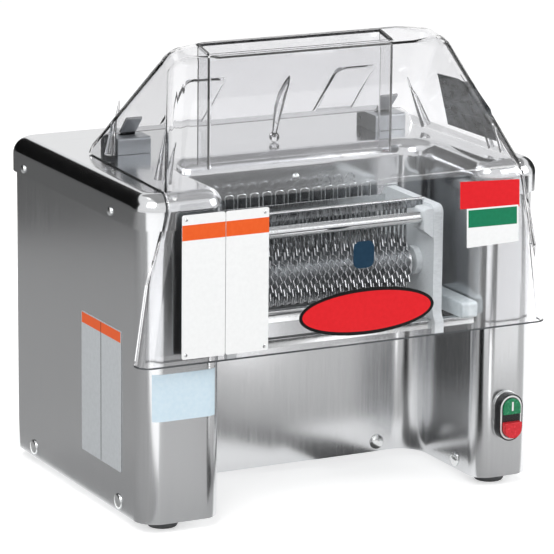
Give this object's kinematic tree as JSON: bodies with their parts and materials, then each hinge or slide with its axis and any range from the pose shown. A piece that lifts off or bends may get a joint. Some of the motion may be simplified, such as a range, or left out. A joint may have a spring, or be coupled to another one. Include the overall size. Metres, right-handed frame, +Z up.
{
  "type": "meat tenderizer machine",
  "caption": "Countertop motor-driven meat tenderizer: stainless box housing with a hinged clear hood, a feed chute, a lift-out cradle of toothed rolls, and a push-button switch.",
  "frame": {"origin": "middle of the bounding box in plan, at the underside of the rubber feet", "axes": "+Z up, -Y towards the operator (the side with the push buttons), +X to the operator's right"},
  "size_m": [0.528, 0.4122, 0.5391],
  "materials": {
    "brushed stainless": "brushed",
    "polished stainless": "polished",
    "clear polycarbonate": "clear",
    "white acetal": "satin",
    "translucent nylon": "satin",
    "grey hinge block": "matte",
    "black rubber": "matte",
    "black plastic": "satin",
    "green button": "gloss",
    "red button": "gloss",
    "painted casting": "painted",
    "gear nylon": "satin"
  },
  "bodies": {
    "machine": {"housing_shell": "brushed stainless", "base_pan": "brushed stainless", "top_cover": "brushed stainless", "foot_front_left": "black rubber", "foot_front_right": "black rubber", "foot_rear_left": "black rubber", "foot_rear_right": "black rubber", "hinge_block_left": "grey hinge block", "hinge_block_right": "grey hinge block", "hinge_pin_left": "polished stainless", "hinge_pin_right": "polished stainless", "interlock_switch": "black plastic", "front_support_bar": "polished stainless", "rear_support_bar": "polished stainless", "latch_pin": "polished stainless", "cradle_plate_left": "white acetal", "cradle_plate_right": "white acetal", "tie_rod": "polished stainless", "lower_tie_rod": "polished stainless", "front_bush_left": "white acetal", "front_bush_right": "white acetal", "rear_bush_left": "white acetal", "rear_bush_right": "white acetal", "front_comb": "brushed stainless", "rear_comb": "brushed stainless", "loop_rail": "brushed stainless", "comb_lock_rod": "polished stainless", "gearbox": "painted casting", "motor": "painted casting", "motor_end_bell": "painted casting", "motor_saddle": "painted casting", "start_capacitor": "black plastic", "control_box": "black plastic", "switch_bezel": "black plastic", "switch_body": "black plastic", "cord_gland": "black plastic"},
    "hood": {"hood": "clear polycarbonate", "feed_chute": "clear polycarbonate", "hood_ear_left": "brushed stainless", "hood_ear_right": "brushed stainless", "interlock_plate": "brushed stainless"},
    "front_roll": {"front_shaft": "polished stainless", "front_blades": "polished stainless", "timing_gear_front": "gear nylon"},
    "rear_roll": {"rear_shaft": "polished stainless", "rear_blades": "polished stainless", "timing_gear_rear": "gear nylon"},
    "drive_coupling": {"drive_coupling": "polished stainless"},
    "start_button": {"start_button": "green button"},
    "stop_button": {"stop_button": "red button"},
    "cradle_latch": {"cradle_latch": "translucent nylon"}
  },
  "joints": [
    {"name": "hood_hinge", "type": "hinge", "parent": "machine", "child": "hood", "pos_m": [0, 0.06115, 0.4045], "axis": [-1, 0, 0], "range_deg": [0, 105]},
    {"name": "rear_roll_spin", "type": "hinge", "parent": "machine", "child": "rear_roll", "pos_m": [0, -0.06985, 0.274], "axis": [1, 0, 0], "continuous": true},
    {"name": "front_roll_spin", "type": "hinge", "parent": "machine", "child": "front_roll", "pos_m": [0, -0.13185, 0.274], "axis": [1, 0, 0], "continuous": true},
    {"name": "drive_coupling_spin", "type": "hinge", "parent": "machine", "child": "drive_coupling", "pos_m": [0, -0.06985, 0.274], "axis": [1, 0, 0], "continuous": true},
    {"name": "start_press", "type": "slide", "parent": "machine", "child": "start_button", "axis": [0, 1, 0], "range_m": [0, 0.003], "stiffness_N_per_m": 400},
    {"name": "stop_press", "type": "slide", "parent": "machine", "child": "stop_button", "axis": [0, 1, 0], "range_m": [0, 0.003], "stiffness_N_per_m": 400},
    {"name": "latch_pivot", "type": "hinge", "parent": "machine", "child": "cradle_latch", "pos_m": [0, -0.09585, 0.2198], "axis": [-1, 0, 0], "range_deg": [0, 70]}
  ],
  "couplings": [
    {"joint": "front_roll_spin", "follows": "rear_roll_spin", "ratio": -1},
    {"joint": "drive_coupling_spin", "follows": "rear_roll_spin", "ratio": 1}
  ]
}
